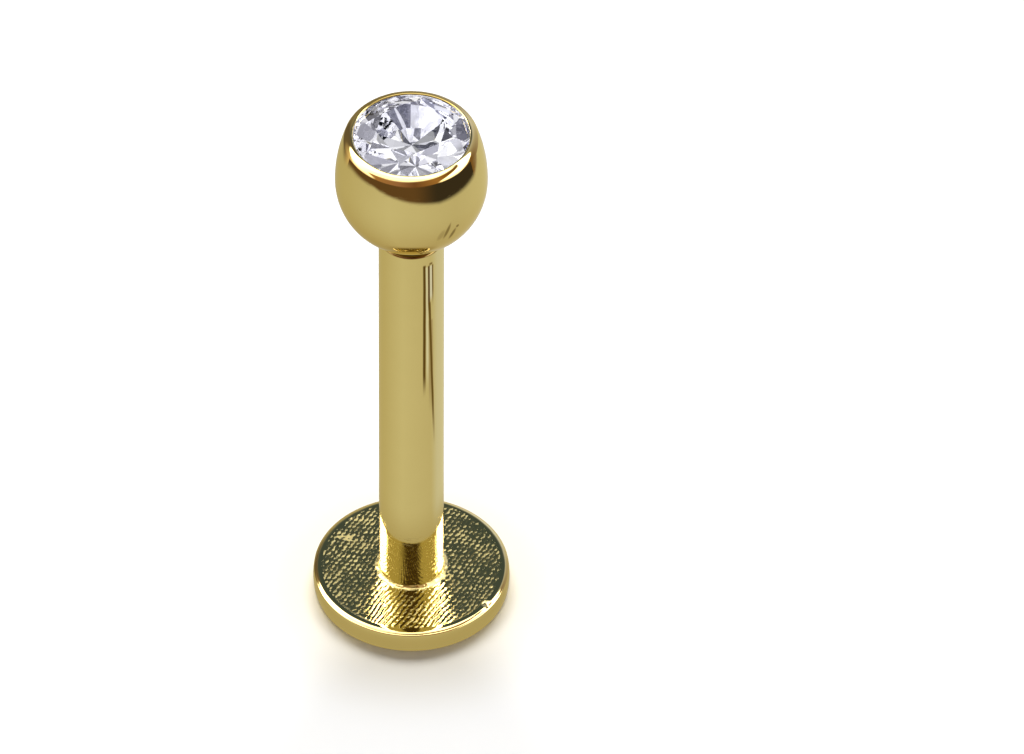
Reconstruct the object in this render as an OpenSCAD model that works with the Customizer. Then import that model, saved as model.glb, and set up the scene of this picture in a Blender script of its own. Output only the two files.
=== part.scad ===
// Labret stud in yellow gold. A flat disc is soldered to the foot of a straight
// post, and a ball that holds a round stone closes the other end: the threaded
// pin under the ball goes into a bore in the top of the post.
// Millimetres. +Z runs up the post, and the origin is the centre of the disc's underside.

/* [Disc] */
// Diameter of the disc at its widest ring
disc_d = 3.92; // [3.4:0.02:5]
// Thickness of the disc
disc_t = 0.49; // [0.4:0.01:0.6]
// Radius of the slightly bulging edge, seen in section
disc_edge_r = 1.2; // [0.6:0.1:3]
// Rounding at the top and the bottom of the edge
disc_corner_r = 0.035; // [0.02:0.005:0.05]
// How far the bevel drops between the face and the edge
bevel_drop = 0.035; // [0.02:0.005:0.05]
// Slope of the bevel
bevel_slope = 15; // [10:1:20]

/* [Post] */
// Diameter of the post: 16 gauge is 1.29
post_d = 1.29; // [1.0:0.01:1.63]
// Length of the post between the disc and its open top
post_l = 9.25; // [6:0.01:12]
// Radius of the solder fillet at the foot of the post
fillet_r = 0.08; // [0.04:0.01:0.15]
// Rounding of the top edge of the post
post_top_r = 0.06; // [0.03:0.01:0.08]

/* [Threaded pin] */
// Diameter of the plain shank under the ball
shank_d = 0.57; // [0.5:0.01:0.6]
// Length of the plain shank
shank_l = 0.5; // [0.3:0.05:0.8]
// Diameter over the crests of the thread
thread_d = 0.55; // [0.48:0.01:0.58]
// Depth of the thread, from crest to root
thread_depth = 0.06; // [0.03:0.005:0.08]
// Distance from one crest of the thread to the next
thread_pitch = 0.2; // [0.15:0.01:0.25]
// Number of crests
thread_turns = 9; // [6:1:10]
// Clearance between the pin and the wall of the bore
bore_gap = 0.025; // [0.015:0.005:0.04]

/* [Ball] */
// Diameter of the ball
ball_d = 3.0; // [2.9:0.05:3.2]
// Radius of the gently curved wall above the widest ring, seen in section
wall_r = 3.46; // [3:0.02:5]
// Height of the rim above the centre of the ball
rim_h = 1.21; // [1.1:0.01:1.25]
// Rounding of the rim
rim_r = 0.2; // [0.15:0.01:0.25]
// Rounding of the rim's inner edge, which is pressed over the stone
rim_inner_r = 0.03; // [0.02:0.005:0.05]
// Gap between the underside of the ball and the top of the post
ball_gap = 0.04; // [0.02:0.01:0.1]

/* [Stone] */
// Diameter of the stone at its girdle
stone_d = 2.4; // [2.3:0.01:2.42]
// Width of the table as a share of the diameter
table_share = 0.58; // [0.52:0.01:0.66]
// Angle of the eight main facets above the girdle
crown_angle = 30; // [26:0.5:34]
// Angle of the eight main facets below the girdle
pavilion_angle = 40.8; // [38:0.1:43]
// Thickness of the girdle
girdle_t = 0.05; // [0.03:0.005:0.08]
// How far the rim reaches over the girdle
rim_cover = 0.056; // [0.05:0.002:0.08]
// Clearance between the stone and its seat
seat_gap = 0.03; // [0.02:0.005:0.04]

/* [Hidden] */
$fn = 96;

gold = [0.80, 0.71, 0.43];
clear_stone = [0.88, 0.88, 0.95];

disc_r = disc_d / 2;
post_r = post_d / 2;
shank_r = shank_d / 2;
ball_r = ball_d / 2;
stone_r = stone_d / 2;

post_top = disc_t + post_l;
ball_z = post_top + ball_gap + ball_r;

// Steps of an outline's arcs: the long ones, and the small roundings
long_arc = 24;
small_arc = 6;

// The bore in the post: as wide as the pin and its clearance, and deeper than the pin
bore_r = max(shank_d, thread_d) / 2 + bore_gap;
pin_l = shank_l + thread_turns * thread_pitch;
tip_room = 0.15;
bore_depth = pin_l - ball_gap + tip_room;
bore_chamfer = 0.04;
drill_point_angle = 31;

// The rim's rounding runs on from the wall above the widest ring, and the rounding of its
// inner edge runs on from the rim's; heights are measured from the centre of the ball
opening_r = stone_r - rim_cover;
rim_z = rim_h - rim_r;
rim_from = asin(rim_z / (wall_r - rim_r));
rim_x = ball_r - wall_r + (wall_r - rim_r) * cos(rim_from);
inner_from = acos((opening_r + rim_inner_r - rim_x) / (rim_r - rim_inner_r));
inner_z = rim_z + (rim_r - rim_inner_r) * sin(inner_from);

// The stone's levels, measured from the centre of the ball
rim_straight = 0.015;
rim_under_z = inner_z - rim_straight;
girdle_top_z = rim_under_z - seat_gap / cos(crown_angle) - rim_cover * tan(crown_angle);
girdle_bottom_z = girdle_top_z - girdle_t;
culet_hole_r = 0.35;
culet_hole_floor = 0.08;

// Points along an arc of an outline; first = 1 leaves out the point it starts from
function arc(centre, radius, from, to, steps, first = 0) =
    [for (i = [first : steps])
        let (angle = from + (to - from) * i / steps)
            centre + radius * [cos(angle), sin(angle)]];

// Outline of the disc's edge, from the underside up over the bevel to the face
function disc_edge() =
    let (
        bulge_c = [disc_r - disc_edge_r, disc_t / 2],
        reach = disc_edge_r - disc_corner_r,
        low_z = disc_corner_r,
        low_lean = asin((bulge_c.y - low_z) / reach),
        low_x = bulge_c.x + reach * cos(low_lean),
        top_z = disc_t - bevel_drop - disc_corner_r,
        top_lean = asin((top_z - bulge_c.y) / reach),
        top_x = bulge_c.x + reach * cos(top_lean),
        bevel_top = [top_x + disc_corner_r * sin(bevel_slope), top_z + disc_corner_r * cos(bevel_slope)],
        face_r = bevel_top.x - (disc_t - bevel_top.y) / tan(bevel_slope)
    )
    concat(
        arc([low_x, low_z], disc_corner_r, -90, -low_lean, small_arc),
        arc(bulge_c, disc_edge_r, -low_lean, top_lean, long_arc / 2, 1),
        arc([top_x, top_z], disc_corner_r, top_lean, 90 - bevel_slope, small_arc, 1),
        [[face_r, disc_t]]
    );

// Outline of one side of the post, from its foot to the wall of the bore
function post_side() = concat(
    arc([post_r + fillet_r, disc_t + fillet_r], fillet_r, 270, 180, small_arc),
    arc([post_r - post_top_r, post_top - post_top_r], post_top_r, 0, 90, small_arc),
    [
        [bore_r + bore_chamfer, post_top],
        [bore_r, post_top - bore_chamfer],
        [bore_r, post_top - bore_depth],
        [0, post_top - bore_depth - bore_r * tan(drill_point_angle)]
    ]
);

// The disc and the post, soldered into one solid, with the blind bore in the top
module post_and_disc() {
    color(gold)
        rotate_extrude()
            polygon(concat([[0, 0]], disc_edge(), post_side()));
}

// Outline of the threaded pin, from its tip up to the ball; heights from the centre of the ball
function pin_side() =
    let (
        crest_r = thread_d / 2,
        root_r = crest_r - thread_depth,
        tip_z = -ball_r - pin_l,
        shoulder_z = tip_z + thread_turns * thread_pitch,
        crest_share = 0.3,
        root_share = 0.2,
        half_crest = thread_pitch * crest_share / 2,
        half_root = thread_pitch * root_share / 2
    )
    concat(
        [[0, tip_z], [root_r, tip_z]],
        [for (turn = [0 : thread_turns - 1])
            let (z = tip_z + (turn + 0.5) * thread_pitch)
                each [
                    [root_r, z - thread_pitch / 2 + half_root],
                    [crest_r, z - half_crest],
                    [crest_r, z + half_crest],
                    [root_r, z + thread_pitch / 2 - half_root]
                ]],
        [[root_r, shoulder_z], [shank_r, shoulder_z + shank_r - root_r]]
    );

// Outline of the ball, from the shank up to the inner edge of the rim
function ball_side() = concat(
    arc([0, 0], ball_r, -acos(shank_r / ball_r), 0, long_arc),
    arc([ball_r - wall_r, 0], wall_r, 0, rim_from, long_arc / 2, 1),
    arc([rim_x, rim_z], rim_r, rim_from, inner_from, long_arc / 2, 1),
    arc([opening_r + rim_inner_r, inner_z], rim_inner_r, inner_from, 180, small_arc, 1)
);

// Height of the seat's wall under the rim and under the girdle, at the radius r
function seat_above(r) =
    girdle_top_z + (stone_r - r) * tan(crown_angle) + seat_gap / cos(crown_angle);
function seat_below(r) =
    girdle_bottom_z - (stone_r - r) * tan(pavilion_angle) - seat_gap / cos(pavilion_angle);

// Outline of the cut seat, from the inner edge of the rim down to its floor
function seat_side() = [
    [opening_r, seat_above(opening_r)],
    [stone_r + seat_gap, seat_above(stone_r + seat_gap)],
    [stone_r + seat_gap, seat_below(stone_r + seat_gap)],
    [culet_hole_r, seat_below(culet_hole_r)],
    [culet_hole_r, seat_below(0) - culet_hole_floor],
    [0, seat_below(0) - culet_hole_floor]
];

// The ball with its seat, its rim and its threaded pin, one solid
module ball_end() {
    color(gold)
        translate([0, 0, ball_z])
            rotate_extrude()
                polygon(concat(pin_side(), ball_side(), seat_side()));
}

// A ring of eight or sixteen corners of the stone
function corners(count, radius, z, turn) =
    [for (i = [0 : count - 1])
        let (angle = 360 * i / count + turn)
            [radius * cos(angle), radius * sin(angle), z]];

// The round brilliant cut: a table, 8 star, 8 main and 16 upper girdle facets above
// the girdle, and 16 lower girdle and 8 main facets below it, down to a point
module stone() {
    sides = 8;
    half_turn = 180 / sides;
    table_r = stone_r * table_share;
    table_h = (stone_r - table_r) * tan(crown_angle);
    star_share = 0.5;
    table_flat_r = table_r * cos(half_turn);
    star_r = table_flat_r + star_share * (stone_r - table_flat_r);
    star_h = table_h * (stone_r - star_r * cos(half_turn)) / (stone_r - table_r);
    culet_h = stone_r * tan(pavilion_angle);
    lower_share = 0.24;
    lower_r = stone_r * lower_share;
    lower_h = culet_h * (1 - lower_share * cos(half_turn));

    points = concat(
        corners(sides, table_r, girdle_t + table_h, 0),
        corners(sides, star_r, girdle_t + star_h, half_turn),
        corners(2 * sides, stone_r, girdle_t, 0),
        corners(2 * sides, stone_r, 0, 0),
        corners(sides, lower_r, -lower_h, half_turn),
        [[0, 0, -culet_h]]
    );
    star_at = sides;
    upper_at = star_at + sides;
    lower_at = upper_at + 2 * sides;
    keel_at = lower_at + 2 * sides;
    culet = keel_at + sides;

    function next(i, count) = (i + 1) % count;
    function last(i, count) = (i + count - 1) % count;

    table = [[for (i = [sides - 1 : -1 : 0]) i]];
    stars = [for (i = [0 : sides - 1]) [i, next(i, sides), star_at + i]];
    mains = [for (i = [0 : sides - 1])
        [i, star_at + i, upper_at + 2 * i, star_at + last(i, sides)]];
    uppers = [for (i = [0 : sides - 1]) each [
        [star_at + i, upper_at + 2 * i + 1, upper_at + 2 * i],
        [star_at + i, upper_at + next(2 * i + 1, 2 * sides), upper_at + 2 * i + 1]
    ]];
    girdle = [for (j = [0 : 2 * sides - 1])
        [lower_at + j, upper_at + j, upper_at + next(j, 2 * sides), lower_at + next(j, 2 * sides)]];
    lowers = [for (i = [0 : sides - 1]) each [
        [keel_at + i, lower_at + 2 * i, lower_at + 2 * i + 1],
        [keel_at + i, lower_at + 2 * i + 1, lower_at + next(2 * i + 1, 2 * sides)]
    ]];
    keels = [for (i = [0 : sides - 1])
        [culet, keel_at + last(i, sides), lower_at + 2 * i, keel_at + i]];

    color(clear_stone)
        translate([0, 0, ball_z + girdle_bottom_z])
            polyhedron(points, concat(table, stars, mains, uppers, girdle, lowers, keels));
}

post_and_disc();
ball_end();
stone();
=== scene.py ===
import math

import bmesh
import bpy
import numpy as np
from mathutils import Matrix, Vector


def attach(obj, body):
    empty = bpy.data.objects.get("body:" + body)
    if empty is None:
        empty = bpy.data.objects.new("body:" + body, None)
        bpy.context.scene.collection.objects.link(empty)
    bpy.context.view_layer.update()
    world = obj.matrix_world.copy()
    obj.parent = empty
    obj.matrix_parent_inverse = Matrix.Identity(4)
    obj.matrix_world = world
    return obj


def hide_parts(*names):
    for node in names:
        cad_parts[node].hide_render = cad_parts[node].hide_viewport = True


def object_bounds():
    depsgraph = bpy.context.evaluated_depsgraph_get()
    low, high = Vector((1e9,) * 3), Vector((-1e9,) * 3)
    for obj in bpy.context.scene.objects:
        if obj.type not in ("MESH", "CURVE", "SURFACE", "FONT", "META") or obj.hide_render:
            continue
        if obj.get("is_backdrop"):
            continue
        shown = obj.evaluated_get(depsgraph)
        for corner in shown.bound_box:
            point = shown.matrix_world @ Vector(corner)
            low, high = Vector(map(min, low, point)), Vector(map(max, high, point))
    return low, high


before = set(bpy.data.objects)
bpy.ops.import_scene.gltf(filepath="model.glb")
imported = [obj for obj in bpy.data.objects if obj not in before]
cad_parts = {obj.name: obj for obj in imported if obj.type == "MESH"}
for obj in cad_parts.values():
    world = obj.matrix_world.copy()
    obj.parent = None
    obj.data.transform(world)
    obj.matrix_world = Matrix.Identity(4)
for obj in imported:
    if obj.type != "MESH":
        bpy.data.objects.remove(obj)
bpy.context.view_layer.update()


# Post and disc

# The real piece is a gold disc with a straight 16 gauge post soldered to its middle
# and a threaded bore in the post's upper end. The disc's face keeps the weave of the
# sheet that it was cut from; its edge and the post are polished.

MM = 0.001
disc_r = 1.96
disc_t = 0.49
edge_r = 1.2
corner_r = 0.035
bevel_drop = 0.035
bevel_slope = math.radians(15)
post_r = 0.645
post_top = 9.74
fillet_r = 0.08
top_edge_r = 0.06
bore_r = 0.31
bore_depth = 2.41
bore_chamfer = 0.04
drill_lean = math.radians(31)
drill_tip = bore_r * math.tan(drill_lean)


def arc(centre, radius, start, end, steps):
    """Points (across, up) of an outline along an arc; angles in degrees."""
    angles = np.radians(np.linspace(start, end, steps + 1))
    return [(centre[0] + radius * math.cos(a), centre[1] + radius * math.sin(a)) for a in angles]


def straight(start, end, steps, hold=0.01):
    """Points of an outline along a straight, with one close to each end to hold the shading."""
    a, b = np.array(start), np.array(end)
    near = hold / np.linalg.norm(b - a)
    shares = [0.0, near, *np.linspace(near, 1 - near, steps + 1)[1:-1], 1 - near, 1.0]
    return [tuple(a + (b - a) * s) for s in shares]


def joined(*runs):
    """One outline from several runs, without the points that two of them share."""
    points = []
    for run in runs:
        for p in run:
            if not points or math.dist(points[-1], p) > 1e-6:
                points.append((float(p[0]), float(p[1])))
    return points


def turned(name, outline, steps, shape):
    """A mesh turned round the upright axis from an outline that starts and ends on it, in mm.
    shape moves the points: it takes and returns arrays of radius, angle and height."""
    sharp_edge = math.radians(35)
    inner = np.array(outline[1:-1])
    angles = np.arange(steps) * 2 * math.pi / steps
    radius = np.repeat(inner[:, :1], steps, 1)
    height = np.repeat(inner[:, 1:], steps, 1)
    angle = np.repeat(angles[None, :], len(inner), 0)
    radius, angle, height = shape(radius, angle, height)
    points = np.stack([radius * np.cos(angle), radius * np.sin(angle), height], -1).reshape(-1, 3)
    points = np.vstack([points, [0, 0, outline[0][1]], [0, 0, outline[-1][1]]])
    first, last = len(points) - 2, len(points) - 1
    rings = len(inner)
    faces = []
    for j in range(steps):
        k = (j + 1) % steps
        faces.append((first, k, j))
        faces.append((last, (rings - 1) * steps + j, (rings - 1) * steps + k))
    ring = np.arange(rings - 1)[:, None] * steps
    j = np.arange(steps)[None, :]
    k = (j + 1) % steps
    quads = np.stack([ring + j, ring + k, ring + steps + k, ring + steps + j], -1)
    faces += [tuple(q) for q in quads.reshape(-1, 4).tolist()]
    mesh = bpy.data.meshes.new(name)
    mesh.from_pydata((points * MM).tolist(), [], faces)
    mesh.validate()
    mesh.polygons.foreach_set("use_smooth", [True] * len(mesh.polygons))
    mesh.set_sharp_from_angle(angle=sharp_edge)
    piece = bpy.data.objects.new(name, mesh)
    bpy.context.scene.collection.objects.link(piece)
    return piece


# The disc's edge bulges along an arc of radius edge_r, between two small corner arcs.
reach = edge_r - corner_r
bulge = (disc_r - edge_r, disc_t / 2)
low_lean = math.degrees(math.asin((bulge[1] - corner_r) / reach))
low_x = bulge[0] + reach * math.cos(math.radians(low_lean))
top_z = disc_t - bevel_drop - corner_r
top_lean = math.degrees(math.asin((top_z - bulge[1]) / reach))
top_x = bulge[0] + reach * math.cos(math.radians(top_lean))
bevel_out = (top_x + corner_r * math.sin(bevel_slope), top_z + corner_r * math.cos(bevel_slope))
face_out = bevel_out[0] - (disc_t - bevel_out[1]) / math.tan(bevel_slope)
face_in = post_r + fillet_r
face_rings = 92
post_steps = 560

post_outline = joined(
    [(0, 0)],
    straight((0.02, 0), (low_x, 0), 2),
    arc((low_x, corner_r), corner_r, -90, -low_lean, 6),
    arc(bulge, edge_r, -low_lean, top_lean, 8),
    arc((top_x, top_z), corner_r, top_lean, 90 - math.degrees(bevel_slope), 10),
    straight(bevel_out, (face_out, disc_t), 6, 0.004),
    straight((face_out, disc_t), (face_in, disc_t), face_rings),
    arc((post_r + fillet_r, disc_t + fillet_r), fillet_r, 270, 180, 8),
    straight((post_r, disc_t + fillet_r), (post_r, post_top - top_edge_r), 4),
    arc((post_r - top_edge_r, post_top - top_edge_r), top_edge_r, 0, 90, 8),
    straight((post_r - top_edge_r, post_top), (bore_r + bore_chamfer, post_top), 1),
    [(bore_r + bore_chamfer, post_top), (bore_r, post_top - bore_chamfer)],
    straight((bore_r, post_top - bore_chamfer), (bore_r, post_top - bore_depth), 2),
    [(bore_r, post_top - bore_depth), (0, post_top - bore_depth - drill_tip)],
)


def noise(x, y, seed, size):
    """Smooth random heights between -1 and 1 over the plane, with grains about size across."""
    draw = np.random.default_rng(seed)
    table = draw.uniform(-1, 1, (256, 256))
    u, v = x / size, y / size
    i, j = np.floor(u).astype(int), np.floor(v).astype(int)
    a, b = u - i, v - j
    a, b = a * a * (3 - 2 * a), b * b * (3 - 2 * b)
    at = lambda p, q: table[p % 256, q % 256]
    low = at(i, j) * (1 - a) + at(i + 1, j) * a
    high = at(i, j + 1) * (1 - a) + at(i + 1, j + 1) * a
    return low * (1 - b) + high * b


weave_turn = math.radians(60)
weave_pitch = 0.094
knot_pitch = 0.125
weave_depth = 0.0040
wave_depth = 0.005
bevel_power = 4.8
nick_turn = math.radians(54)
nick_depth = 0.028
nick_half = 3.2


def weave_parts(x, y):
    """The waves of the weave: its slanting rows, the knots along them and the grain."""
    along = x * math.cos(weave_turn) + y * math.sin(weave_turn)
    across = -x * math.sin(weave_turn) + y * math.cos(weave_turn)
    drift = 0.030 * noise(x, y, 1, 0.5) + 0.016 * noise(x, y, 2, 0.14)
    row = (across + drift) / weave_pitch
    rows = np.cos(2 * math.pi * row)
    knot = (along + 0.04 * noise(x, y, 3, 0.2)) / knot_pitch
    knots = np.cos(2 * math.pi * knot + 2.1 * np.floor(row))
    grain = noise(x, y, 4, 0.06) + 0.7 * noise(x, y, 5, 0.032)
    return rows, (1 + rows) * knots / 2, grain


def weave(x, y):
    """The face's relief: slanting rows of short knots, with grain and slow waves."""
    rows, knots, grain = weave_parts(x, y)
    relief = weave_depth * (0.46 * rows + 0.22 * knots + 0.24 * grain - 0.75)
    return relief + wave_depth * noise(x, y, 6, 0.4)


def disc_marks(radius, angle, height):
    """Presses the weave into the face, rounds the bevel unevenly and makes the solder lumpy."""
    x, y = radius * np.cos(angle), radius * np.sin(angle)
    azimuth = np.arctan2(x, -y)
    on_face = (np.abs(height - disc_t) < 1e-6) & (radius > face_in + 0.005)
    on_face = on_face & (radius < face_out - 0.005)
    fade = np.clip((face_out - radius) / 0.05, 0, 1) * np.clip((radius - face_in) / 0.04, 0, 1)
    height = height + np.where(on_face, weave(x, y) * fade, 0)

    drop = disc_t - bevel_out[1]
    inward = np.clip((bevel_out[0] - radius) / (bevel_out[0] - face_out), 0, 1)
    on_bevel = (height > bevel_out[1] - 1e-9) & (radius > face_out - 1e-6)
    on_bevel = on_bevel & (radius < bevel_out[0] + 1e-6)
    ring = 2.0 * azimuth
    uneven = 0.6 * noise(ring, ring, 7, 0.5) + 0.3 * noise(ring, ring, 8, 0.16)
    power = bevel_power + 0.7 * np.cos(azimuth - 0.1) + uneven
    rounded = disc_t - drop * (1 - inward) ** np.clip(power, 1.2, 7)
    off_nick = np.degrees(np.abs(azimuth - nick_turn))
    nick = nick_depth * np.clip(1 - off_nick / nick_half, 0, 1) * (0.35 + 0.65 * (1 - inward))
    height = np.where(on_bevel, np.minimum(rounded, disc_t) - nick, height)

    on_solder = (radius < face_in + 0.004) & (height < disc_t + fillet_r) & (height > disc_t - 1e-6)
    lump = 0.016 * noise(azimuth * 3, height * 20, 9, 0.5)
    lump = lump + 0.01 * noise(azimuth * 9, height * 30, 10, 0.6)
    lump = lump * np.clip((radius - post_r) / 0.01, 0, 1)
    radius = radius + np.where(on_solder, lump, 0)
    height = height + np.where(on_solder, np.abs(lump) * 0.3, 0)
    return radius, angle, height


post_and_disc_piece = turned("post_and_disc_gold", post_outline, post_steps, disc_marks)
spots = np.empty(len(post_and_disc_piece.data.vertices) * 3)
post_and_disc_piece.data.vertices.foreach_get("co", spots)
spots = spots.reshape(-1, 3) / MM
# How far each point of the face stands up to the rubbing that dulls the weave's crests,
# and three scratches: across, away from the camera, lean in degrees and half length.
rows, knots, grain = weave_parts(spots[:, 0], spots[:, 1])
rubbed_more = noise(spots[:, 0], spots[:, 1], 11, 0.3)
crest = 0.5 + 0.24 * rows + 0.24 * knots + 0.26 * grain + 0.16 * rubbed_more
face_scratches = [(-1.37, 0.80, 8, 0.16), (-1.27, 0.70, -14, 0.14), (-1.20, 0.79, 32, 0.08)]
scratch_half = 0.022
for across, back_off, lean, long in face_scratches:
    tilt = math.radians(lean)
    off_x, off_y = spots[:, 0] - across, spots[:, 1] - back_off
    run = (off_x * math.cos(tilt) + off_y * math.sin(tilt)) / long
    side = (off_y * math.cos(tilt) - off_x * math.sin(tilt)) / scratch_half
    crest = crest + 1.1 * np.exp(-(run**2) - side**2)
crest_layer = post_and_disc_piece.data.attributes.new("crest", "FLOAT", "POINT")
crest_layer.data.foreach_set("value", np.clip(crest, 0, 1).astype(np.float32))


def new_group(name, inputs, outputs):
    """An empty node group with its input and output sockets."""
    group = bpy.data.node_groups.new(name, "ShaderNodeTree")
    for title, kind, value in inputs:
        socket = group.interface.new_socket(title, in_out="INPUT", socket_type=kind)
        if value is not None:
            socket.default_value = value
    for title, kind in outputs:
        group.interface.new_socket(title, in_out="OUTPUT", socket_type=kind)
    return group, group.nodes.new("NodeGroupInput"), group.nodes.new("NodeGroupOutput")


def math_node(tree, kind, a, b=None, c=None):
    """A Math node whose inputs are numbers or sockets; returns its output."""
    node = tree.nodes.new("ShaderNodeMath")
    node.operation = kind
    for slot, value in enumerate((a, b, c)):
        if value is None:
            continue
        if isinstance(value, (int, float)):
            node.inputs[slot].default_value = value
        else:
            tree.links.new(value, node.inputs[slot])
    return node.outputs[0]


def noise_node(tree, vector, scale, detail, roughness=0.5):
    """A Noise Texture on a vector; returns its height output."""
    node = tree.nodes.new("ShaderNodeTexNoise")
    node.inputs["Scale"].default_value = scale
    node.inputs["Detail"].default_value = detail
    node.inputs["Roughness"].default_value = roughness
    tree.links.new(vector, node.inputs["Vector"])
    return node.outputs["Fac"]


def map_node(tree, value, low, high, to_low, to_high, kind="SMOOTHSTEP"):
    """A Map Range node; returns its output."""
    node = tree.nodes.new("ShaderNodeMapRange")
    node.interpolation_type = kind
    tree.links.new(value, node.inputs["Value"])
    limits = (("From Min", low), ("From Max", high), ("To Min", to_low), ("To Max", to_high))
    for title, number in limits:
        if isinstance(number, (int, float)):
            node.inputs[title].default_value = number
        else:
            tree.links.new(number, node.inputs[title])
    return node.outputs["Result"]


def mix_node(tree, share, a, b):
    """A colour Mix node; share, a and b are values or sockets; returns its output."""
    node = tree.nodes.new("ShaderNodeMix")
    node.data_type = "RGBA"
    for slot, value in ((0, share), (6, a), (7, b)):
        if isinstance(value, (int, float)):
            node.inputs[slot].default_value = value
        elif isinstance(value, tuple):
            node.inputs[slot].default_value = (*value, 1.0)
        else:
            tree.links.new(value, node.inputs[slot])
    return node.outputs[2]


def azimuth_of(tree, x, y):
    """Degrees round the upright axis, 0 towards the camera and growing to its right."""
    turn = math_node(tree, "ARCTAN2", x, math_node(tree, "MULTIPLY", y, -1))
    return math_node(tree, "MULTIPLY", turn, 180 / math.pi)


def window(tree, value, low, high, soft):
    """1 where value lies between low and high, with soft edges."""
    rise = map_node(tree, value, low - soft, low + soft, 0.0, 1.0)
    fall = map_node(tree, value, high - soft, high + soft, 1.0, 0.0)
    return math_node(tree, "MULTIPLY", rise, fall)


# Polished gold as seen close up: cloudy patches in the polish, fine hair scratches that
# run aslant, and a fine grain.
polish, group_in, group_out = new_group(
    "polished_gold_marks",
    [("Vector", "NodeSocketVector", None), ("Wear", "NodeSocketFloat", 1.0)],
    [("Colour", "NodeSocketColor"), ("Roughness", "NodeSocketFloat"), ("Height", "NodeSocketFloat")],
)
place = group_in.outputs["Vector"]
clouds = noise_node(polish, place, 900, 3, 0.6)
stretch = polish.nodes.new("ShaderNodeMapping")
stretch.inputs["Scale"].default_value = (1.0, 1.0, 14.0)
stretch.inputs["Rotation"].default_value = (0.35, 0.2, 0.0)
polish.links.new(place, stretch.inputs["Vector"])
hairs = noise_node(polish, stretch.outputs["Vector"], 5200, 2, 0.55)
fine = noise_node(polish, place, 14000, 2, 0.5)
scratch = map_node(polish, hairs, 0.60, 0.72, 0.0, 1.0)
worn = math_node(polish, "MULTIPLY", scratch, group_in.outputs["Wear"])
patchy = mix_node(polish, clouds, (0.80, 0.665, 0.26), (0.85, 0.705, 0.285))
polish.links.new(patchy, group_out.inputs["Colour"])
rough = math_node(polish, "MULTIPLY_ADD", clouds, 0.05, 0.015)
polish.links.new(math_node(polish, "MULTIPLY_ADD", worn, 0.06, rough), group_out.inputs["Roughness"])
height = math_node(polish, "MULTIPLY_ADD", fine, 0.35, worn)
polish.links.new(height, group_out.inputs["Height"])


def gold_material(name, wear, bump_distance):
    """A gold material with the polish marks, laid out in the piece's own space."""
    material = bpy.data.materials.new(name)
    material.use_nodes = True
    tree = material.node_tree
    shader = tree.nodes["Principled BSDF"]
    shader.inputs["Metallic"].default_value = 1.0
    shader.inputs["Specular Tint"].default_value = (1.0, 0.95, 0.74, 1.0)
    marks = tree.nodes.new("ShaderNodeGroup")
    marks.node_tree = polish
    marks.inputs["Wear"].default_value = wear
    coords = tree.nodes.new("ShaderNodeTexCoord")
    tree.links.new(coords.outputs["Object"], marks.inputs["Vector"])
    tree.links.new(marks.outputs["Colour"], shader.inputs["Base Color"])
    tree.links.new(marks.outputs["Roughness"], shader.inputs["Roughness"])
    bump = tree.nodes.new("ShaderNodeBump")
    bump.inputs["Distance"].default_value = bump_distance
    tree.links.new(marks.outputs["Height"], bump.inputs["Height"])
    tree.links.new(bump.outputs["Normal"], shader.inputs["Normal"])
    return material


# Painted reflections on the post: lengthwise dark and bright streaks painted into its colour.
# Columns: azimuth at the upper end, drift to the right per mm further down and half width in degrees;
# lower and upper height and the fade of the lower end in mm; and the painted colour of the streak.
painted_reflection_streaks = [
    (66.0, 0.0, 22.0, 2.2, 9.70, 0.50, (0.87, 0.78, 0.42)),
    (35.5, 1.0, 5.0, 5.7, 7.90, 0.50, (0.60, 0.46, 0.19)),
    (23.4, 0.0, 2.7, 6.1, 9.46, 0.35, (0.17, 0.09, 0.01)),
    (28.0, 0.6, 2.2, 6.4, 9.40, 0.50, (1.00, 0.93, 0.55)),
    (32.4, 0.0, 2.2, 8.2, 9.42, 0.30, (0.15, 0.07, 0.01)),
    (36.8, 0.0, 2.6, 8.5, 9.40, 0.12, (1.00, 0.95, 0.66)),
    (40.4, 0.0, 1.6, 8.5, 9.41, 0.30, (0.25, 0.14, 0.02)),
    (36.5, 0.0, 3.4, 9.43, 9.48, 0.03, (0.24, 0.14, 0.02)),
    (33.2, 2.8, 2.4, 5.0, 8.40, 0.80, (0.20, 0.11, 0.01)),
]
post_gold = gold_material("gold_post_and_disc", 0.5, 0.0000004)
tree = post_gold.node_tree
shader = tree.nodes["Principled BSDF"]
marks = shader.inputs["Base Color"].links[0].from_node
coords = next(node for node in tree.nodes if node.type == "TEX_COORD")
parts = tree.nodes.new("ShaderNodeSeparateXYZ")
tree.links.new(coords.outputs["Object"], parts.inputs[0])
around = azimuth_of(tree, parts.outputs["X"], parts.outputs["Y"])
wander = noise_node(tree, coords.outputs["Object"], 900, 1)
around = math_node(tree, "ADD", around, math_node(tree, "MULTIPLY_ADD", wander, 2.4, -1.2))
colour = marks.outputs["Colour"]
for place, drift, half, low, high, fade, tone in painted_reflection_streaks:
    drifted = math_node(tree, "MULTIPLY_ADD", parts.outputs["Z"], drift / MM, -drift * high)
    off = math_node(tree, "SUBTRACT", math_node(tree, "ADD", around, drifted), place)
    off = math_node(tree, "ABSOLUTE", off)
    across = map_node(tree, off, 0.5 * half, 1.4 * half, 1.0, 0.0)
    foot = map_node(tree, parts.outputs["Z"], (low - fade) * MM, (low + fade) * MM, 0.0, 1.0)
    head = map_node(tree, parts.outputs["Z"], (high - 0.03) * MM, (high + 0.03) * MM, 1.0, 0.0)
    streak = math_node(tree, "MULTIPLY", across, math_node(tree, "MULTIPLY", foot, head))
    # Each streak is a painted reflection mixed into the gold's colour.
    colour = mix_node(tree, streak, colour, tone)
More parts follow.
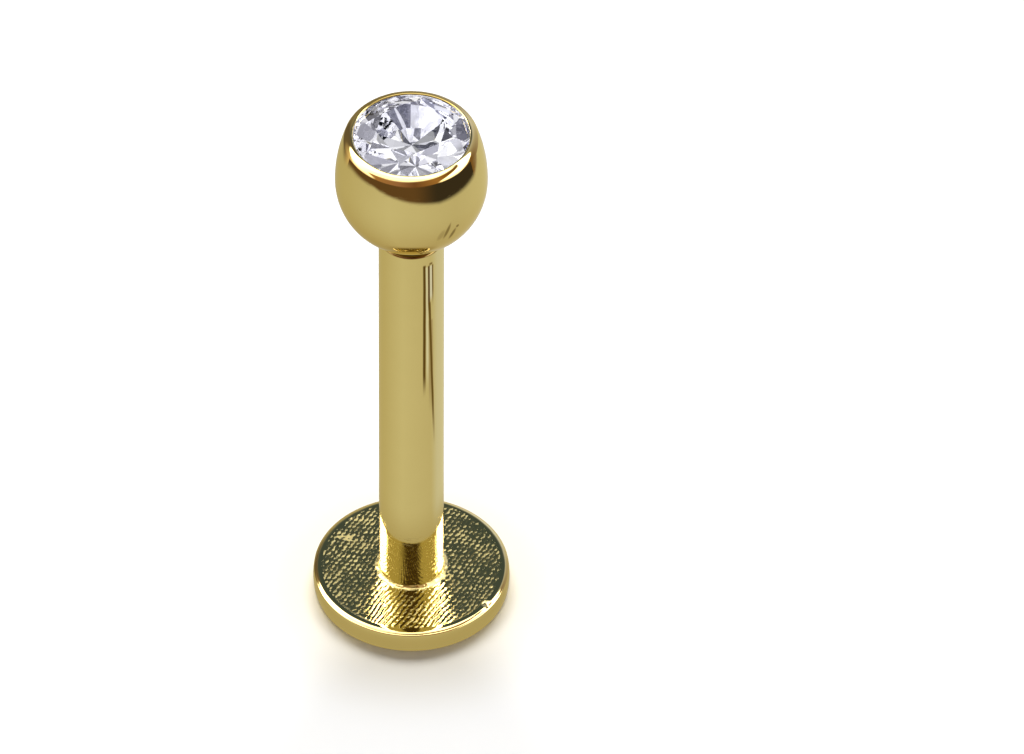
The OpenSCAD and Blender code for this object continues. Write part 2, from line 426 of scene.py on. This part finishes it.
# Painted shade: the post's upper end is darkened where it lies in the shade of the ball screwed down
# on it.
end_low, end_high = (post_top - 0.07) * MM, (post_top - 0.02) * MM
painted_gap_shade = map_node(tree, parts.outputs["Z"], end_low, end_high, 0.0, 1.0)
tree.links.new(mix_node(tree, painted_gap_shade, colour, (0.26, 0.17, 0.05)), shader.inputs["Base Color"])
post_and_disc_piece.data.materials.append(post_gold)

# The face is bright in the weave's troughs and rubbed dull on its crests.
face_gold = gold_material("gold_disc_face", 1.0, 0.0000012)
tree = face_gold.node_tree
shader = tree.nodes["Principled BSDF"]
coords = next(node for node in tree.nodes if node.type == "TEX_COORD")
specks = noise_node(tree, coords.outputs["Object"], 30000, 2, 0.6)
crest_node = tree.nodes.new("ShaderNodeAttribute")
crest_node.attribute_name = "crest"
lowered = math_node(tree, "SUBTRACT", crest_node.outputs["Fac"], 0.2)
rubbed = math_node(tree, "MULTIPLY_ADD", specks, 0.4, lowered)
tree.links.new(map_node(tree, rubbed, 0.52, 0.92, 0.07, 0.40), shader.inputs["Roughness"])
post_and_disc_piece.data.materials.append(face_gold)

solder_gold = gold_material("gold_solder", 1.0, 0.000003)
tree = solder_gold.node_tree
shader = tree.nodes["Principled BSDF"]
coords = next(node for node in tree.nodes if node.type == "TEX_COORD")
pits = noise_node(tree, coords.outputs["Object"], 9000, 2, 0.6)
tree.links.new(map_node(tree, pits, 0.3, 0.7, 0.22, 0.5), shader.inputs["Roughness"])
post_and_disc_piece.data.materials.append(solder_gold)

for face in post_and_disc_piece.data.polygons:
    out, up = math.hypot(face.center.x, face.center.y) / MM, face.center.z / MM
    if face_in - 0.002 < out < face_out and disc_t - 0.03 < up < disc_t + 0.02:
        face.material_index = 1
    elif post_r + 0.001 < out < face_in + 0.03 and disc_t - 0.001 < up < disc_t + fillet_r:
        face.material_index = 2
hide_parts("post_and_disc")
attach(post_and_disc_piece, "post")


# Ball end

# The real piece is a gold ball, a little fuller than a sphere above its middle, with a
# seat cut for the stone, a rim pressed over the stone's edge, and a threaded pin
# turned underneath that screws into the post.

ball_r = 1.5
ball_z = 11.28
wall_r = 3.46
rim_h = 1.21
rim_r = 0.2
rim_inner_r = 0.03
opening_r = 1.144
stone_r = 1.2
seat_gap = 0.03
crown_angle = math.radians(30)
pavilion_angle = math.radians(40.8)
girdle_t = 0.05
shank_r = 0.285
shank_l = 0.5
crest_r = 0.275
thread_depth = 0.06
thread_pitch = 0.2
thread_turns = 9
pin_l = shank_l + thread_turns * thread_pitch

rim_z = rim_h - rim_r
rim_from = math.degrees(math.asin(rim_z / (wall_r - rim_r)))
rim_x = ball_r - wall_r + (wall_r - rim_r) * math.cos(math.radians(rim_from))
inner_from = math.degrees(math.acos((opening_r + rim_inner_r - rim_x) / (rim_r - rim_inner_r)))
inner_z = rim_z + (rim_r - rim_inner_r) * math.sin(math.radians(inner_from))
rim_lip = 0.015
under_rim = seat_gap / math.cos(crown_angle) + (stone_r - opening_r) * math.tan(crown_angle)
girdle_top = inner_z - rim_lip - under_rim
girdle_bottom = girdle_top - girdle_t


def seat_above(r):
    """Height of the seat's wall under the rim at the radius r."""
    return girdle_top + (stone_r - r) * math.tan(crown_angle) + seat_gap / math.cos(crown_angle)


def seat_below(r):
    """Height of the seat's wall under the girdle at the radius r."""
    under = (stone_r - r) * math.tan(pavilion_angle) + seat_gap / math.cos(pavilion_angle)
    return girdle_bottom - under


tip_z = -ball_r - pin_l
shoulder_z = tip_z + thread_turns * thread_pitch
root_r = crest_r - thread_depth
seat_r = stone_r + seat_gap
hole_r = 0.35
hole_drop = 0.08
floor_z = seat_below(0) - hole_drop
ball_foot = -math.sqrt(ball_r**2 - shank_r**2)
ball_steps = 256
ball_outline = joined(
    [(0, tip_z)],
    straight((0.02, tip_z), (root_r, tip_z), 2),
    straight((root_r, tip_z), (root_r, shoulder_z), 140, 0.002),
    straight((root_r, shoulder_z), (shank_r, shoulder_z + shank_r - root_r), 3),
    straight((shank_r, shoulder_z + shank_r - root_r), (shank_r, ball_foot), 3),
    arc((0, 0), ball_r, -math.degrees(math.acos(shank_r / ball_r)), 0, 60),
    arc((ball_r - wall_r, 0), wall_r, 0, rim_from, 24),
    arc((rim_x, rim_z), rim_r, rim_from, inner_from, 24),
    arc((opening_r + rim_inner_r, inner_z), rim_inner_r, inner_from, 180, 10),
    [(opening_r, inner_z), (opening_r, seat_above(opening_r))],
    straight((opening_r, seat_above(opening_r)), (seat_r, seat_above(seat_r)), 2),
    straight((seat_r, seat_above(seat_r)), (seat_r, seat_below(seat_r)), 2),
    straight((seat_r, seat_below(seat_r)), (hole_r, seat_below(hole_r)), 6),
    straight((hole_r, seat_below(hole_r)), (hole_r, floor_z), 2),
    [(hole_r, floor_z), (0, floor_z)],
)


def thread(radius, angle, height):
    """Winds the pin's ridge round it as a helix that fades out at the tip and the shank."""
    turn = (height - tip_z) / thread_pitch - angle / (2 * math.pi)
    wave = np.abs(turn - np.round(turn)) * 2
    ridge = np.clip((0.8 - wave) / 0.5, 0, 1)
    ridge = ridge * ridge * (3 - 2 * ridge)
    fade = np.clip((height - tip_z) / 0.12, 0, 1) * np.clip((shoulder_z - height) / 0.1, 0, 1)
    on_pin = (height < shoulder_z) & (radius > root_r - 1e-6) & (radius < root_r + 1e-6)
    return np.where(on_pin, root_r + thread_depth * ridge * fade, radius), angle, height + ball_z


# Small dents on the ball's right side: azimuth in degrees and height of the middle, half
# length and half width in mm, lean to the right in degrees, depth in mm.
ball_dents = [
    (28.1, -0.15, 0.160, 0.030, 20, 0.0060),
    (33.1, -0.29, 0.120, 0.034, 25, 0.0065),
    (37.1, -0.12, 0.030, 0.030, 0, 0.0060),
    (23.2, -0.22, 0.120, 0.050, 25, 0.0025),
]


def ball_marks(radius, angle, height):
    """Winds the thread and presses the small dents into the ball."""
    radius, angle, height = thread(radius, angle, height)
    up = height - ball_z
    azimuth = np.arctan2(np.cos(angle), -np.sin(angle))
    on_ball = (radius > 0.9) & (up > -1.2) & (up < 0.5) & (radius > seat_r + 0.05)
    for place, level, long, wide, lean, depth in ball_dents:
        across = (azimuth - math.radians(place)) * ball_r
        rise = up - level
        tilt = math.radians(lean)
        along = across * math.sin(tilt) + rise * math.cos(tilt)
        aside = across * math.cos(tilt) - rise * math.sin(tilt)
        pit = depth * np.exp(-((along / long) ** 2) - (aside / wide) ** 2)
        radius = radius - np.where(on_ball, pit, 0)
    return radius, angle, height


ball_piece = turned("ball_end_gold", ball_outline, ball_steps, ball_marks)
for corner in ball_piece.data.vertices[-2:]:
    corner.co.z += ball_z * MM

# The ball's gold, with painted shade: darker towards the pin, a darker strip inside the back of
# the rim, and darkened gold in the dents.
ball_gold = gold_material("gold_ball", 0.3, 0.0000002)
tree = ball_gold.node_tree
shader = tree.nodes["Principled BSDF"]
marks = shader.inputs["Base Color"].links[0].from_node
coords = next(node for node in tree.nodes if node.type == "TEX_COORD")
parts = tree.nodes.new("ShaderNodeSeparateXYZ")
tree.links.new(coords.outputs["Object"], parts.inputs[0])
# Painted shade: the gold gets darker towards the pin.
ball_shade_below = map_node(tree, parts.outputs["Z"], (ball_z - 1.25) * MM, (ball_z + 0.45) * MM, 1.0, 0.0)


def tinted(tree, share, colour, tint):
    """A colour multiplied by a tint where share is 1; share and tint are values or sockets."""
    result = mix_node(tree, share, colour, tint)
    result.node.blend_type = "MULTIPLY"
    return result


shaded_below_colour = tinted(tree, ball_shade_below, marks.outputs["Colour"], (0.72, 0.62, 0.45))
# Painted shade: a darker strip inside the back of the rim.
back_rim_shade = math_node(
    tree,
    "MULTIPLY",
    map_node(tree, parts.outputs["Y"], 0.3 * MM, 0.9 * MM, 0.0, 1.0),
    map_node(tree, parts.outputs["Z"], (ball_z + 1.08) * MM, (ball_z + 1.16) * MM, 0.0, 1.0),
)
around = azimuth_of(tree, parts.outputs["X"], parts.outputs["Y"])
ball_painted_shade = back_rim_shade
# Painted shade in the dents: their gold is darkened.
for place, level, long, wide, lean, depth in ball_dents:
    turned_by = math_node(tree, "SUBTRACT", around, place)
    aside = math_node(tree, "MULTIPLY", turned_by, math.radians(ball_r))
    height = math_node(tree, "DIVIDE", parts.outputs["Z"], MM)
    rise = math_node(tree, "SUBTRACT", height, ball_z + level)
    tilt = math.radians(lean)
    along = math_node(tree, "MULTIPLY", aside, math.sin(tilt) / long)
    along = math_node(tree, "MULTIPLY_ADD", rise, math.cos(tilt) / long, along)
    over = math_node(tree, "MULTIPLY", aside, math.cos(tilt) / wide)
    over = math_node(tree, "MULTIPLY_ADD", rise, -math.sin(tilt) / wide, over)
    far = math_node(tree, "MULTIPLY_ADD", along, along, math_node(tree, "MULTIPLY", over, over))
    dent_shade = map_node(tree, far, 0.2, 2.6, min(1.0, 160 * depth), 0.0)
    ball_painted_shade = math_node(tree, "MAXIMUM", ball_painted_shade, dent_shade)
ball_shade_tint = mix_node(tree, ball_painted_shade, (1.0, 1.0, 1.0), (0.45, 0.40, 0.30))
tree.links.new(tinted(tree, 1.0, shaded_below_colour, ball_shade_tint), shader.inputs["Base Color"])
ball_piece.data.materials.append(ball_gold)

# The seat under the stone is bright, silvery and creased down its slope like a foil, so
# that the stone shows no gold. The foil glows with painted light, standing in for light that the stone
# gathers.
glowing_seat_foil = bpy.data.materials.new("glowing_seat_foil")
glowing_seat_foil.use_nodes = True
foil = glowing_seat_foil.node_tree.nodes["Principled BSDF"]
foil.inputs["Metallic"].default_value = 1.0
foil.inputs["Roughness"].default_value = 0.25
# Painted light: the foil glows, though it is no lamp.
foil.inputs["Emission Strength"].default_value = 1.0
tree = glowing_seat_foil.node_tree
coords = tree.nodes.new("ShaderNodeTexCoord")
parts = tree.nodes.new("ShaderNodeSeparateXYZ")
tree.links.new(coords.outputs["Object"], parts.inputs[0])
around = azimuth_of(tree, parts.outputs["X"], parts.outputs["Y"])
crease = tree.nodes.new("ShaderNodeCombineXYZ")
fold_degrees = 17
fold_length = 0.9 * MM
tree.links.new(math_node(tree, "MULTIPLY", around, 1 / fold_degrees), crease.inputs["X"])
tree.links.new(math_node(tree, "MULTIPLY", parts.outputs["Z"], 1 / fold_length), crease.inputs["Y"])
folds = tree.nodes.new("ShaderNodeTexVoronoi")
folds.voronoi_dimensions = "2D"
folds.inputs["Scale"].default_value = 1.0
tree.links.new(crease.outputs["Vector"], folds.inputs["Vector"])
shade = tree.nodes.new("ShaderNodeSeparateColor")
tree.links.new(folds.outputs["Color"], shade.inputs["Color"])
silver = mix_node(tree, shade.outputs["Red"], (0.26, 0.26, 0.32), (0.97, 0.97, 1.0))
tree.links.new(silver, foil.inputs["Base Color"])
# Painted glints: the brighter creases glow more.
glow_share = map_node(tree, shade.outputs["Red"], 0.3, 0.85, 0.0, 1.0)
painted_glow = mix_node(tree, glow_share, (0.03, 0.03, 0.04), (0.85, 0.85, 0.90))
tree.links.new(painted_glow, foil.inputs["Emission Color"])
ball_piece.data.materials.append(glowing_seat_foil)

for face in ball_piece.data.polygons:
    out, up = math.hypot(face.center.x, face.center.y) / MM, face.center.z / MM - ball_z
    if out < seat_r + 0.001 and seat_below(0) - 0.1 < up < inner_z - 0.004:
        face.material_index = 1
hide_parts("ball_end")
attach(ball_piece, "ball_end")


# Stone

# The real piece is a colourless round brilliant of cubic zirconia, held by the rim. It
# is ground facet by facet, so each facet strays a little in turn and in slope.

table_share = 0.58
stone_turn = 11.0
facet_swing = 3.0
slope_swing = 0.3 * facet_swing
girdle_swing = 0.6 * facet_swing
main_slope, star_slope, upper_slope = 29.5, 17.5, 36.5
lower_slope, keel_slope = 42.8, 40.8
table_z = girdle_top + stone_r * (1 - table_share) * math.tan(crown_angle)
table_flat_r = table_share * stone_r * math.cos(math.radians(22.5))


def stray(count, seed):
    """How far one facet strays, between -1 and 1."""
    return math.sin(12.9898 * (count + 1) + 78.233 * seed)


def facet(azimuth, slope, radius, height, side):
    """A grinding plane: a point that it passes through and the way that it faces."""
    a, s = math.radians(azimuth), math.radians(slope)
    point = Vector((radius * math.cos(a), radius * math.sin(a), height))
    facing = Vector((math.sin(s) * math.cos(a), math.sin(s) * math.sin(a), side * math.cos(s)))
    return point, facing


facets = [(Vector((0, 0, table_z)), Vector((0, 0, 1)))]
for i in range(8):
    a = stone_turn + 45 * i
    main = a + facet_swing * stray(i, 1)
    slope = main_slope + slope_swing * stray(i, 2)
    facets.append(facet(main, slope, 0.995 * stone_r, girdle_top + 0.004, 1))
    star = a + 22.5 + facet_swing * stray(i, 3)
    slope = star_slope + slope_swing * stray(i, 4)
    facets.append(facet(star, slope, table_flat_r + 0.012, table_z - 0.002, 1))
for i in range(16):
    a = stone_turn + 11.25 + 22.5 * i
    upper = a + girdle_swing * stray(i, 5)
    slope = upper_slope + slope_swing * stray(i, 6)
    facets.append(facet(upper, slope, 0.998 * stone_r, girdle_top + 0.006, 1))
    lower = a + girdle_swing * stray(i, 7)
    slope = lower_slope + slope_swing * stray(i, 8)
    facets.append(facet(lower, slope, 0.998 * stone_r, girdle_bottom, -1))
for i in range(8):
    keel = stone_turn + 45 * i + facet_swing * stray(i, 9)
    slope = keel_slope + slope_swing * stray(i, 10)
    facets.append(facet(keel, slope, 0.99 * stone_r, girdle_bottom, -1))

# A round blank is cut by the facets' planes one after the other.
blank = {"segments": 96, "radius1": stone_r, "radius2": stone_r, "depth": 4.0}
rough_stone = bmesh.new()
bmesh.ops.create_cone(rough_stone, cap_ends=True, **blank)
for point, facing in facets:
    whole = rough_stone.verts[:] + rough_stone.edges[:] + rough_stone.faces[:]
    bmesh.ops.bisect_plane(
        rough_stone, geom=whole, plane_co=point, plane_no=facing, clear_outer=True, dist=0.00001
    )
    cut = [edge for edge in rough_stone.edges if edge.is_boundary]
    bmesh.ops.holes_fill(rough_stone, edges=cut, sides=0)
bmesh.ops.recalc_face_normals(rough_stone, faces=rough_stone.faces[:])
for corner in rough_stone.verts:
    corner.co = Vector((corner.co.x, corner.co.y, corner.co.z + ball_z)) * MM
stone_mesh = bpy.data.meshes.new("stone_brilliant")
rough_stone.to_mesh(stone_mesh)
rough_stone.free()
stone_piece = bpy.data.objects.new("stone_brilliant", stone_mesh)
bpy.context.scene.collection.objects.link(stone_piece)

stone_glass = bpy.data.materials.new("clear_stone")
stone_glass.use_nodes = True
glass = stone_glass.node_tree.nodes["Principled BSDF"]
glass.inputs["Base Color"].default_value = (0.985, 0.985, 1.0, 1.0)
glass.inputs["Metallic"].default_value = 0.0
glass.inputs["Roughness"].default_value = 0.0
glass.inputs["IOR"].default_value = 2.17
glass.inputs["Specular Tint"].default_value = (0.35, 0.35, 0.37, 1.0)
glass.inputs["Transmission Weight"].default_value = 1.0
stone_mesh.materials.append(stone_glass)

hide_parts("stone")
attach(stone_piece, "ball_end")


# Studio

# A white sheet of paper lies under the stud, with a white canopy above, a softbox on
# each side and a lamp overhead. What the gold mirrors is painted on the world and on
# the sheet by direction round the stud, and only mirror rays see it.

floor_mesh = bpy.data.meshes.new("floor")
floor_half = 0.6
floor_corners = [(-floor_half, -floor_half, 0), (floor_half, -floor_half, 0)]
floor_corners += [(floor_half, floor_half, 0), (-floor_half, floor_half, 0)]
floor_mesh.from_pydata(floor_corners, [], [(0, 1, 2, 3)])
floor = bpy.data.objects.new("floor", floor_mesh)
bpy.context.scene.collection.objects.link(floor)
floor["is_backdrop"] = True

floor_material = bpy.data.materials.new("white_sheet")
floor_material.use_nodes = True
tree = floor_material.node_tree
shader = tree.nodes["Principled BSDF"]
shader.inputs["Roughness"].default_value = 1.0
shader.inputs["Specular IOR Level"].default_value = 0.0


def curve_node(tree, value, rows, low, high):
    """A smooth curve through rows of (value, result), with results between low and high."""
    first, last = rows[0][0], rows[-1][0]
    node = tree.nodes.new("ShaderNodeFloatCurve")
    points = node.mapping.curves[0].points
    for at, (number, result) in enumerate(rows):
        place = ((number - first) / (last - first), (result - low) / (high - low))
        if at < 1:
            points[0].location = place
        elif at == len(rows) - 1:
            points[len(points) - 1].location = place
        else:
            points.new(*place)
    for point in points:
        point.handle_type = "VECTOR"
    node.mapping.update()
    tree.links.new(map_node(tree, value, first, last, 0.0, 1.0, "LINEAR"), node.inputs["Value"])
    return math_node(tree, "MULTIPLY_ADD", node.outputs[0], high - low, low)


def colour_row(tree, value, rows):
    """A row of colours over a value, from rows of (value, colour)."""
    first, last = rows[0][0], rows[-1][0]
    node = tree.nodes.new("ShaderNodeValToRGB")
    stops = node.color_ramp.elements
    while len(stops) < len(rows):
        stops.new(0.5)
    for stop, (number, colour) in zip(stops, rows):
        stop.position = (number - first) / (last - first)
    for at, (number, colour) in enumerate(rows):
        stops[at].color = (*colour, 1.0)
    tree.links.new(map_node(tree, value, first, last, 0.0, 1.0, "LINEAR"), node.inputs[0])
    return node.outputs[0]


coords = tree.nodes.new("ShaderNodeTexCoord")
parts = tree.nodes.new("ShaderNodeSeparateXYZ")
tree.links.new(coords.outputs["Object"], parts.inputs[0])
x, y = parts.outputs["X"], parts.outputs["Y"]
azimuth = azimuth_of(tree, x, y)
away = math_node(tree, "MULTIPLY_ADD", x, x, math_node(tree, "MULTIPLY", y, y))
away = math_node(tree, "SQRT", away)
# Painted shadow and painted bounce light: the paper's colour is warmer and darker close round the
# disc, where gold would throw its colour and shade on it.
past_painted_shadow = map_node(tree, away, 1.9 * MM, 4.2 * MM, 0.0, 1.0)
paper = mix_node(tree, past_painted_shadow, (0.83, 0.80, 0.73), (0.96, 0.96, 0.96))
tree.links.new(paper, shader.inputs["Base Color"])

# The lit sheet as the gold mirrors it: its colour, and how far it reaches in mm, over
# the azimuth in degrees. Nearest to the disc it is darker, a painted shadow in the reflection.
sheet_glow = [
    (-180, (0.60, 0.57, 0.48)),
    (-150, (0.53, 0.49, 0.37)),
    (-100, (0.58, 0.54, 0.43)),
    (-30, (0.67, 0.65, 0.59)),
    (65, (0.61, 0.58, 0.51)),
    (150, (0.69, 0.67, 0.63)),
    (180, (0.60, 0.57, 0.48)),
]
sheet_reach = [
    (-180, 36), (-150, 20), (-119, 24), (-106, 28), (-97, 31), (-81, 35),
    (-55, 42), (-23, 39), (0, 35), (13, 33), (39, 28.5), (65, 27),
    (105, 24), (119, 26), (133, 52), (160, 52), (180, 36),
]
sheet_colour = mix_node(
    tree,
    map_node(tree, away, 2.1 * MM, 3.4 * MM, 0.0, 1.0),
    (0.51, 0.46, 0.35),
    colour_row(tree, azimuth, sheet_glow),
)
reach_here = math_node(tree, "MULTIPLY", curve_node(tree, azimuth, sheet_reach, 0, 60), MM)
beyond = map_node(tree, math_node(tree, "DIVIDE", away, reach_here), 0.88, 1.07, 0.0, 1.0)
mirror = tree.nodes.new("ShaderNodeEmission")
tree.links.new(sheet_colour, mirror.inputs["Color"])
through = tree.nodes.new("ShaderNodeBsdfTransparent")
far = tree.nodes.new("ShaderNodeMixShader")
tree.links.new(beyond, far.inputs[0])
tree.links.new(mirror.outputs[0], far.inputs[1])
tree.links.new(through.outputs[0], far.inputs[2])
path = tree.nodes.new("ShaderNodeLightPath")
choose = tree.nodes.new("ShaderNodeMixShader")
tree.links.new(path.outputs["Is Glossy Ray"], choose.inputs[0])
tree.links.new(shader.outputs[0], choose.inputs[1])
tree.links.new(far.outputs[0], choose.inputs[2])
tree.links.new(choose.outputs[0], tree.nodes["Material Output"].inputs["Surface"])
floor_mesh.materials.append(floor_material)

# The room round the stud, as seen by the gold, by the stone and by the paper.
world = bpy.data.worlds.new("studio")
bpy.context.scene.world = world
world.use_nodes = True
tree = world.node_tree
tree.nodes.clear()
coords = tree.nodes.new("ShaderNodeTexCoord")
parts = tree.nodes.new("ShaderNodeSeparateXYZ")
tree.links.new(coords.outputs["Generated"], parts.inputs[0])
x, y, z = parts.outputs
azimuth = azimuth_of(tree, x, y)
elevation = math_node(tree, "MULTIPLY", math_node(tree, "ARCSINE", z), 180 / math.pi)


def both(a, b):
    """The part that two masks share."""
    return math_node(tree, "MULTIPLY", a, b)


def either(a, b):
    """The part that at least one of two masks covers."""
    return math_node(tree, "MAXIMUM", a, b)


def past(value, limit, soft):
    """0 below a limit and 1 above it, with a soft edge; all three may be sockets."""
    low = math_node(tree, "SUBTRACT", limit, soft)
    high = math_node(tree, "ADD", limit, soft)
    return map_node(tree, value, low, high, 0.0, 1.0)


def band(low, high, soft):
    """The part of the room whose azimuth lies between two sockets, with soft edges."""
    rise = past(azimuth, low, soft)
    fall = past(azimuth, high, soft)
    return both(rise, math_node(tree, "SUBTRACT", 1, fall))


# Over the azimuth: the lower edge of the white canopy and its softness. Over the
# elevation: the side edges of the two softboxes. All in degrees.
canopy_edge = [
    (-180, 63), (-147, 58), (-119, 46), (-77, 46), (-60, 40),
    (-21, 50), (7, 56), (63, 60), (147, 64), (180, 63),
]
canopy_soft = [
    (-180, 6), (-120, 6), (-63, 12), (-35, 14), (-7, 14), (21, 12), (63, 8), (105, 5), (180, 5),
]
left_box_back = [
    (-90, -101), (1, -101), (7, -106), (13, -111), (25, -122), (37, -130), (49, -132), (90, -140),
]
left_box_front = [
    (-90, -58), (5, -58), (13, -64), (19, -70), (25, -71), (31, -68), (37, -60), (90, -50),
]
right_box_front = [
    (-90, 42), (1, 42), (7, 44), (13, 48), (25, 59), (31, 66),
    (37, 76), (43, 88), (55, 115), (61, 150), (90, 179),
]
right_box_back = [
    (-90, 72), (-11, 74), (-5, 79), (1, 88), (7, 96), (13, 99),
    (31, 117), (49, 130), (55, 144), (60, 160), (90, 180),
]
room_colours = [
    (-180, (0.60, 0.57, 0.55)),
    (-165, (0.45, 0.41, 0.36)),
    (-148, (0.14, 0.11, 0.10)),
    (-130, (0.17, 0.13, 0.10)),
    (-107, (0.90, 0.68, 0.45)),
    (-55, (0.45, 0.23, 0.11)),
    (-20, (0.36, 0.18, 0.13)),
    (5, (0.20, 0.09, 0.05)),
    (42, (0.42, 0.21, 0.08)),
    (65, (0.28, 0.12, 0.02)),
    (105, (0.22, 0.12, 0.05)),
    (140, (0.52, 0.48, 0.52)),
    (165, (0.90, 0.95, 1.50)),
    (180, (0.60, 0.57, 0.55)),
]
edge = curve_node(tree, azimuth, canopy_edge, 0, 90)
soft = curve_node(tree, azimuth, canopy_soft, 0, 20)
canopy = past(elevation, edge, soft)
left_from = curve_node(tree, elevation, left_box_back, -180, 180)
left_to = curve_node(tree, elevation, left_box_front, -180, 180)
left_box = band(left_from, left_to, 5)
right_from = curve_node(tree, elevation, right_box_front, -180, 180)
right_to = curve_node(tree, elevation, right_box_back, -180, 180)
right_box = band(right_from, right_to, 4)
aside = math_node(tree, "ABSOLUTE", azimuth)
behind = both(map_node(tree, aside, 142, 162, 0.0, 1.0), window(tree, elevation, 33, 62, 12))

# The upper edge of a dark strip that closes the room below its horizon.
strip_top = [
    (-180, -60), (-118, -60), (-110, -18), (-97, -13), (-86, -11.5), (-75, -9.5), (-62, -8), (100, -8),
    (112, -60), (180, -60),
]
top = curve_node(tree, azimuth, strip_top, -60, 0)
strip = math_node(tree, "SUBTRACT", 1, past(elevation, top, 1.2))
to_right = map_node(tree, azimuth, 0, 40, 0.0, 1.0)
strip_colour = mix_node(tree, to_right, (0.135, 0.075, 0.04), (0.045, 0.035, 0.03))
path = tree.nodes.new("ShaderNodeLightPath")
again = map_node(tree, path.outputs["Glossy Depth"], 1.4, 1.6, 0.0, 1.0)
front = window(tree, azimuth, -84, 48, 14)
white = mix_node(tree, front, (3.4, 3.4, 3.7), (2.5, 2.45, 2.5))
hot = both(window(tree, aside, 100, 146, 6), window(tree, elevation, 24, 64, 6))
white = mix_node(tree, hot, white, (8.0, 8.0, 8.2))
box_white = mix_node(tree, map_node(tree, elevation, -18, 18, 0.0, 1.0), (1.0, 0.65, 0.42), white)

# What gold mirrors at first sight.
sky = colour_row(tree, azimuth, room_colours)
sky = mix_node(tree, behind, sky, (0.06, 0.085, 0.12))
sky = mix_node(tree, left_box, sky, box_white)
sky = mix_node(tree, right_box, sky, box_white)
sky = mix_node(tree, canopy, sky, white)
sky = mix_node(tree, strip, sky, strip_colour)

# What gold mirrors by way of other gold, such as the post in the disc's face.
front_again = window(tree, azimuth, -32, 30, 9)
sky_again = mix_node(tree, front_again, (0.54, 0.52, 0.46), (0.07, 0.05, 0.03))
bars = both(window(tree, aside, 103, 146, 5), window(tree, elevation, 25, 55, 4))
sky_again = mix_node(tree, bars, sky_again, (14.0, 14.4, 25.0))
far_back = map_node(tree, aside, 148, 156, 0.0, 1.0)
sky_again = mix_node(tree, far_back, sky_again, (0.08, 0.10, 0.13))
overhead = map_node(tree, elevation, 70, 78, 0.0, 1.0)
sky_again = mix_node(tree, overhead, sky_again, (0.12, 0.10, 0.08))
sky = mix_node(tree, again, sky, sky_again)

# What the stone gathers: a room of light and dark patches, whiter overhead and darker
# lower down.
turned_room = tree.nodes.new("ShaderNodeMapping")
turned_room.inputs["Rotation"].default_value = (0.3, 0.2, 2.0)
tree.links.new(coords.outputs["Generated"], turned_room.inputs["Vector"])
patches = tree.nodes.new("ShaderNodeTexVoronoi")
patches.inputs["Scale"].default_value = 5.0
tree.links.new(turned_room.outputs["Vector"], patches.inputs["Vector"])
shade = tree.nodes.new("ShaderNodeSeparateColor")
tree.links.new(patches.outputs["Color"], shade.inputs["Color"])
stone_sky = tree.nodes.new("ShaderNodeValToRGB")
tree.links.new(shade.outputs["Red"], stone_sky.inputs["Fac"])
stone_sky.color_ramp.elements[0].color = (0.15, 0.15, 0.18, 1.0)
stone_sky.color_ramp.elements[1].color = (1.25, 1.25, 1.25, 1.0)
patch_tones = [(0.2, (0.32, 0.32, 0.38)), (0.5, (0.60, 0.60, 0.68)), (0.62, (1.1, 1.1, 1.12))]
for place, tone in patch_tones:
    stone_sky.color_ramp.elements.new(place).color = (*tone, 1.0)
star_white = math_node(tree, "MULTIPLY", map_node(tree, elevation, 58, 63, 0.0, 1.0), 0.6)
star_sky = mix_node(tree, star_white, stone_sky.outputs["Color"], (1.25, 1.25, 1.26))
low_sides = map_node(tree, elevation, 50, 58, 1.0, 0.0)
stone_sky = tinted(tree, low_sides, star_sky, (0.28, 0.28, 0.29))

# Paper sees plain grey, gold the painted room, and the stone the patches.
seen = mix_node(tree, path.outputs["Is Glossy Ray"], (0.24, 0.24, 0.24), sky)
inside = map_node(tree, path.outputs["Transmission Depth"], 0.4, 0.6, 0.0, 1.0)
seen = mix_node(tree, either(path.outputs["Is Transmission Ray"], inside), seen, stone_sky)
background = tree.nodes.new("ShaderNodeBackground")
tree.links.new(seen, background.inputs["Color"])
world_out = tree.nodes.new("ShaderNodeOutputWorld")
tree.links.new(background.outputs[0], world_out.inputs["Surface"])

# The camera looks down at 45 degrees from the front, with the stud left of the middle.
camera_data = bpy.data.cameras.new("camera")
camera = bpy.data.objects.new("camera", camera_data)
bpy.context.scene.collection.objects.link(camera)
bpy.context.scene.camera = camera
sensor_width = 36.0
lens = 746.96
picture_width = 1024
left_of_middle = 100.6
camera_data.sensor_width = sensor_width
camera_data.lens = lens
camera_data.clip_end = 5.0
elev = math.radians(45)
distance = 420.0
aim = Vector((0, 0, 5.787))
back = Vector((0, -math.cos(elev), math.sin(elev)))
camera.location = (aim + back * distance) * MM
turn = (-back).to_track_quat("-Z", "Y").to_matrix().to_4x4()
swing = math.atan(left_of_middle / picture_width * sensor_width / lens)
aside = Matrix.Rotation(-swing, 4, "Y")
camera.matrix_world = Matrix.Translation(camera.location) @ turn @ aside

# The lamp lights the paper from above and behind, and isn't mirrored.
lamp_data = bpy.data.lights.new("overhead_softbox", "AREA")
lamp_data.shape = "RECTANGLE"
lamp_data.size = 0.36
lamp_data.size_y = 0.16
lamp_data.energy = 2.28
lamp = bpy.data.objects.new("overhead_softbox", lamp_data)
bpy.context.scene.collection.objects.link(lamp)
lamp_height = math.radians(54)
lamp_distance = 0.4
lamp_away = Vector((0, math.cos(lamp_height), math.sin(lamp_height)))
lamp.location = lamp_away * lamp_distance
lamp.rotation_mode = "QUATERNION"
lamp.rotation_quaternion = lamp_away.to_track_quat("Z", "Y")
lamp.visible_glossy = False
lamp.visible_transmission = False
lamp.visible_camera = False

scene = bpy.context.scene
scene.view_settings.view_transform = "Standard"
scene.cycles.max_bounces = 24
scene.cycles.glossy_bounces = 16
scene.cycles.transmission_bounces = 16

low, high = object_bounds()
